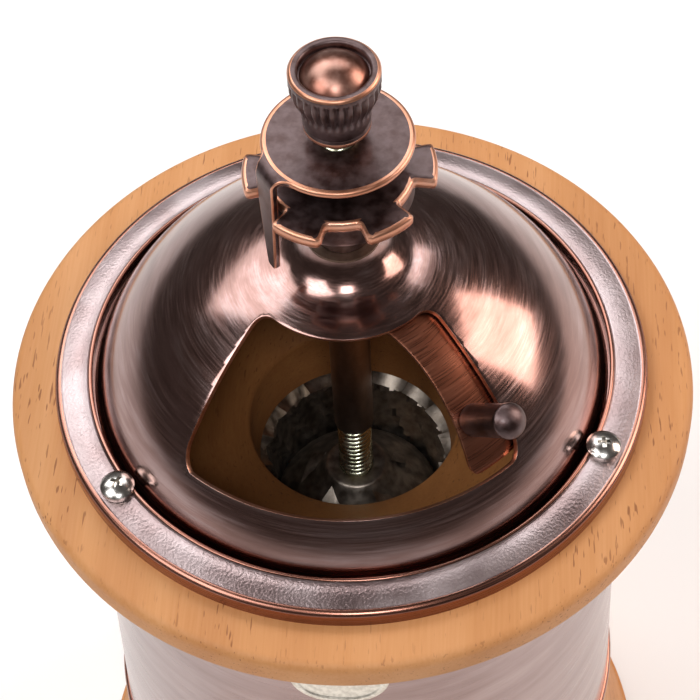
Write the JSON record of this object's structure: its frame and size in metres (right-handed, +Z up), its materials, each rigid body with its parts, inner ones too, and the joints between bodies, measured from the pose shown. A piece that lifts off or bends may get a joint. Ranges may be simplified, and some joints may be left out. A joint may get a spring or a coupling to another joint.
{
  "type": "hand-cranked dome mill",
  "caption": "Hand mill with a copper dome hopper and sliding shutter, wooden top plate and base, tapered metal body, grounds drawer, conical burrs and an adjusting wheel on the spindle.",
  "frame": {"origin": "centre of the base, on the table", "axes": "+Z up along the spindle, -Y towards the drawer and the badge, +X to the right seen from the front"},
  "size_m": [0.12, 0.1295, 0.2261],
  "materials": {
    "wood": "oiled beech, satin",
    "box_wood": "plain planed wood",
    "body_metal": "brushed antique copper plating under lacquer",
    "badge": "bead-blasted nickel plate",
    "steel": "zinc-plated pressed steel",
    "screw_steel": "nickel plate",
    "dome_copper": "spun brushed antique copper plating under lacquer",
    "cast_copper": "hammered antique copper with a polished bead",
    "aged_copper": "dark copper patina with worn bright edges",
    "bright_copper": "polished copper",
    "leaf_copper": "brushed copper",
    "bronze": "dark bronze",
    "brass": "machined",
    "iron": "cast, ground on the cutting edges",
    "zinc_steel": "yellow zinc plate",
    "rubber": "moulded"
  },
  "bodies": {
    "root": {"base_pad": "rubber", "base_plate": "wood", "body_floor": "body_metal", "base_screws": "screw_steel", "body_shell": "body_metal", "badge": "badge", "drawer_rails": "steel", "top_plate": "wood", "plate_screws": "screw_steel", "dome_hopper": "dome_copper", "flange_ring": "cast_copper", "flange_screws": "screw_steel", "neck_bush": "brass", "shutter_clip": "steel", "thrust_washer": "brass", "burr_ring": "iron", "lower_bridge": "steel", "lower_bush": "brass", "burr_screws": "screw_steel", "spring": "steel"},
    "shutter": {"shutter_leaf": "leaf_copper", "shutter_knob": "bronze"},
    "wheel": {"adjusting_wheel": "aged_copper"},
    "spindle": {"spindle": "zinc_steel", "shaft_sleeve": "bronze", "inner_burr": "iron", "spindle_clip": "steel"},
    "lock_plate": {"lock_plate": "aged_copper"},
    "cap_nut": {"cap_nut": "aged_copper", "cap_button": "bright_copper"},
    "drawer": {"drawer_front": "wood", "drawer_box": "box_wood", "drawer_screws": "screw_steel", "drawer_knob": "bright_copper", "knob_screw": "screw_steel"}
  },
  "joints": [
    {"name": "grind_turn", "type": "hinge", "parent": "root", "child": "wheel", "pos_m": [0, 0, 0.192], "axis": [0, 0, 1], "continuous": true},
    {"name": "burr_gap", "type": "slide", "parent": "wheel", "child": "spindle", "axis": [0, 0, -1], "range_m": [0, 0.0012], "deforming": ["spring"]},
    {"name": "nut_lift", "type": "slide", "parent": "spindle", "child": "cap_nut", "axis": [0, 0, 1], "range_m": [0, 0.009]},
    {"name": "lock_lift", "type": "slide", "parent": "spindle", "child": "lock_plate", "axis": [0, 0, 1], "range_m": [0, 0.00675]},
    {"name": "shutter_swing", "type": "hinge", "parent": "root", "child": "shutter", "pos_m": [0, 0, 0.18], "axis": [0, 0, 1], "range_deg": [-77, 0]},
    {"name": "drawer_slide", "type": "slide", "parent": "root", "child": "drawer", "axis": [0, -1, 0], "range_m": [0, 0.055]}
  ],
  "couplings": [
    {"joint": "lock_lift", "follows": "nut_lift", "ratio": 0.75}
  ]
}
